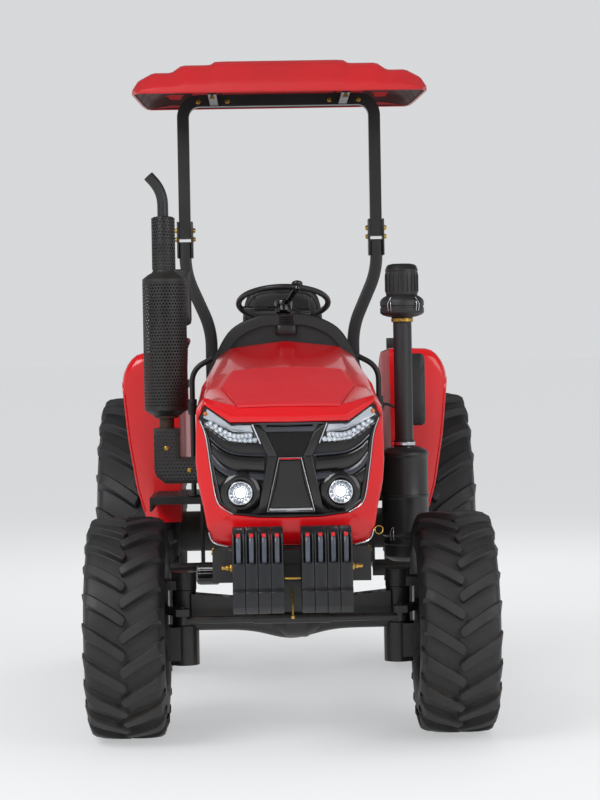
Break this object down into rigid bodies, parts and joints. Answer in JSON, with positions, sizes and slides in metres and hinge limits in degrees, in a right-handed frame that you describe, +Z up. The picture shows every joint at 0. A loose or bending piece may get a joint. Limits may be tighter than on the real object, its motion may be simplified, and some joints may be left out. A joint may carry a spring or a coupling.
{
  "type": "farm tractor",
  "caption": "Compact open-station farm tractor with canopy on a folding roll bar, front weights, vertical exhaust, tall air intake, agricultural tyres and a rear three-point hitch.",
  "frame": {"origin": "on the ground under the middle of the machine's box", "axes": "+X to the tractor's left side, +Y to its rear, +Z up"},
  "size_m": [1.79, 3.7999, 2.9388],
  "materials": {
    "red_paint": "gloss",
    "canopy_red": "gloss",
    "black_paint": "satin",
    "weight_grey": "satin",
    "engine_grey": "satin",
    "black_plastic": "satin",
    "chrome_trim": "polished",
    "lamp_glass": "clear",
    "tail_lens": "gloss",
    "rim_paint": "satin",
    "tyre_rubber": "matt",
    "seat_vinyl": "satin",
    "link_steel": "satin"
  },
  "bodies": {
    "chassis": {"front_frame": "black_paint", "front_axle": "black_paint", "weight_carrier": "black_paint", "front_weights": "weight_grey", "engine": "engine_grey", "radiator": "black_plastic", "gearbox": "engine_grey", "front_drive_cover": "black_paint", "rear_axle": "black_paint", "cowl": "black_plastic", "steering_column": "black_paint", "platform": "red_paint", "fender_left": "red_paint", "fender_right": "red_paint", "seat_base": "black_paint", "seat_cushion": "seat_vinyl", "seat_back": "seat_vinyl", "rops_posts": "black_paint", "muffler": "black_paint", "exhaust_elbow": "black_paint", "air_cleaner": "black_plastic", "intake_stack": "black_plastic", "side_hoops": "black_paint", "mirrors": "black_plastic", "controls": "black_plastic", "oil_filter": "engine_grey", "tail_lamps": "tail_lens", "hitch_frame": "black_paint", "drawbar": "black_paint"},
    "bonnet": {"bonnet": "red_paint", "grille": "black_plastic", "grille_trim": "chrome_trim", "headlamps": "lamp_glass", "fog_lamps": "lamp_glass"},
    "roll_hoop": {"rops_hoop": "black_paint", "canopy": "canopy_red"},
    "steering_wheel": {"steering_wheel": "black_plastic"},
    "knuckle_left": {"knuckle_left": "black_paint"},
    "knuckle_right": {"knuckle_right": "black_paint"},
    "tie_rod": {"tie_rod": "black_paint"},
    "front_wheel_left": {"front_rim_left": "rim_paint", "front_tyre_left": "tyre_rubber"},
    "front_wheel_right": {"front_rim_right": "rim_paint", "front_tyre_right": "tyre_rubber"},
    "rear_wheel_left": {"rear_rim_left": "rim_paint", "rear_tyre_left": "tyre_rubber"},
    "rear_wheel_right": {"rear_rim_right": "rim_paint", "rear_tyre_right": "tyre_rubber"},
    "lift_arms": {"lift_arms": "link_steel"},
    "lower_links": {"lower_links": "link_steel"},
    "lift_rods": {"lift_rods": "link_steel"},
    "pto_shaft": {"pto_shaft": "link_steel"}
  },
  "joints": [
    {"name": "steer_left", "type": "hinge", "parent": "chassis", "child": "knuckle_left", "pos_m": [0.43, -1.05, 0.445], "axis": [0, 0, 1], "range_deg": [-40, 40]},
    {"name": "steer_right", "type": "hinge", "parent": "chassis", "child": "knuckle_right", "pos_m": [-0.43, -1.05, 0.445], "axis": [0, 0, 1], "range_deg": [-40, 40]},
    {"name": "tie_rod_pivot", "type": "hinge", "parent": "knuckle_left", "child": "tie_rod", "pos_m": [0.43, -1.22, 0.489], "axis": [0, 0, 1], "range_deg": [-40, 40]},
    {"name": "steering_wheel_turn", "type": "hinge", "parent": "chassis", "child": "steering_wheel", "pos_m": [0, 0.24, 1.765], "axis": [0, 0.342, 0.9397], "range_deg": [-490, 490]},
    {"name": "front_wheel_left_spin", "type": "hinge", "parent": "knuckle_left", "child": "front_wheel_left", "pos_m": [0.655, -1.05, 0.445], "axis": [1, 0, 0], "continuous": true},
    {"name": "front_wheel_right_spin", "type": "hinge", "parent": "knuckle_right", "child": "front_wheel_right", "pos_m": [-0.655, -1.05, 0.445], "axis": [1, 0, 0], "continuous": true},
    {"name": "rear_wheel_left_spin", "type": "hinge", "parent": "chassis", "child": "rear_wheel_left", "pos_m": [0.7, 1, 0.665], "axis": [1, 0, 0], "continuous": true},
    {"name": "rear_wheel_right_spin", "type": "hinge", "parent": "chassis", "child": "rear_wheel_right", "pos_m": [-0.7, 1, 0.665], "axis": [1, 0, 0], "continuous": true},
    {"name": "bonnet_hinge", "type": "hinge", "parent": "chassis", "child": "bonnet", "pos_m": [0, -0.186, 1.56], "axis": [-1, 0, 0], "range_deg": [0, 52]},
    {"name": "roll_bar_fold", "type": "hinge", "parent": "chassis", "child": "roll_hoop", "pos_m": [0, 1.19, 2.156], "axis": [-1, 0, 0], "range_deg": [0, 90]},
    {"name": "lift", "type": "hinge", "parent": "chassis", "child": "lift_arms", "pos_m": [0, 1.12, 0.962], "axis": [1, 0, 0], "range_deg": [-12, 34]},
    {"name": "lower_link_pivot", "type": "hinge", "parent": "chassis", "child": "lower_links", "pos_m": [0, 1.16, 0.47], "axis": [1, 0, 0], "range_deg": [-9.5, 26]},
    {"name": "lift_rod_pivot", "type": "hinge", "parent": "lift_arms", "child": "lift_rods", "pos_m": [0, 1.41708, 1.00375], "axis": [1, 0, 0], "range_deg": [-31, 11]},
    {"name": "pto_spin", "type": "hinge", "parent": "chassis", "child": "pto_shaft", "pos_m": [0, 1.2, 0.56], "axis": [0, 1, 0], "continuous": true}
  ],
  "couplings": [
    {"joint": "steer_right", "follows": "steer_left", "ratio": 1},
    {"joint": "tie_rod_pivot", "follows": "steer_left", "ratio": -1},
    {"joint": "steering_wheel_turn", "follows": "steer_left", "ratio": 12},
    {"joint": "lower_link_pivot", "follows": "lift", "ratio": 0.75},
    {"joint": "lift_rod_pivot", "follows": "lift", "ratio": -0.9}
  ]
}
